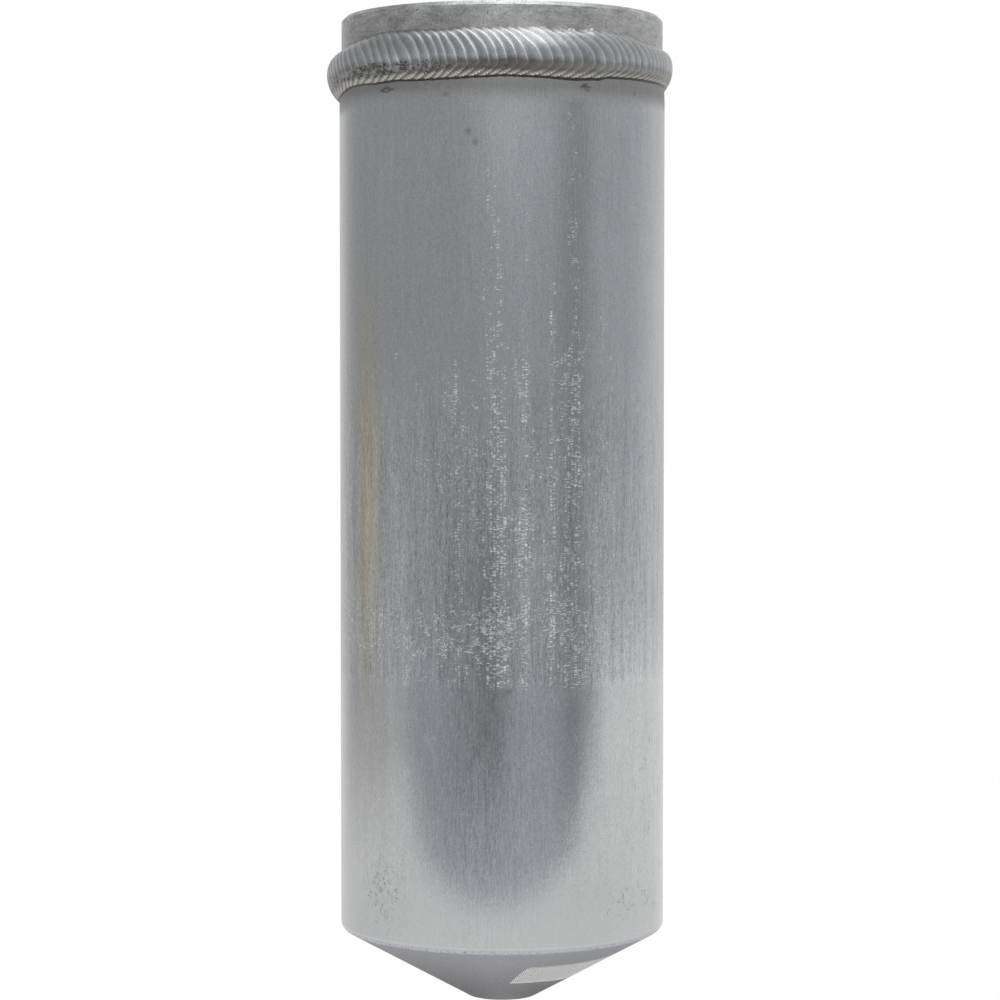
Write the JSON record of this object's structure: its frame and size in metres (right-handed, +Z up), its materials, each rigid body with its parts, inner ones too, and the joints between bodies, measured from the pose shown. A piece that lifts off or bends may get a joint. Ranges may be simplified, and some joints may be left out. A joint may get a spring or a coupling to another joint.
{
  "type": "receiver drier",
  "caption": "Welded aluminium receiver drier: straight can with a cone sump, flat block head with ports, rippled weld bead, and a drying pack with a pickup tube inside.",
  "frame": {"origin": "centre of the head's flat port face, on the can's axis", "axes": "+Z up out of the port face along the can's axis, +X from the inlet port to the outlet port"},
  "size_m": [0.0639, 0.064, 0.1811],
  "materials": {
    "can_metal": "drawn, matt, with fine upright draw lines and small creases",
    "head_metal": "turned, matt near the weld",
    "weld_metal": "rippled weld with sooty brown discoloration",
    "label_film": "pale blank sticker",
    "tube_metal": "plain drawn tube",
    "moulded_plastic": "natural moulded nylon",
    "gauze": "fine woven wire",
    "spring_steel": "plain drawn wire",
    "plate_steel": "pressed and perforated sheet",
    "felt": "pressed filter felt",
    "desiccant": "bed of small drying beads"
  },
  "bodies": {
    "root": {"can": "can_metal", "head": "head_metal", "weld_bead": "weld_metal", "label": "label_film", "pickup_tube": "tube_metal", "strainer_frame": "moulded_plastic", "strainer_gauze": "gauze", "pack_spring": "spring_steel", "upper_plate": "plate_steel", "upper_bush": "moulded_plastic", "upper_screen": "gauze", "upper_felt": "felt", "desiccant_bed": "desiccant", "lower_felt": "felt", "lower_screen": "gauze", "lower_support": "plate_steel", "lower_bush": "moulded_plastic"}
  },
  "joints": []
}
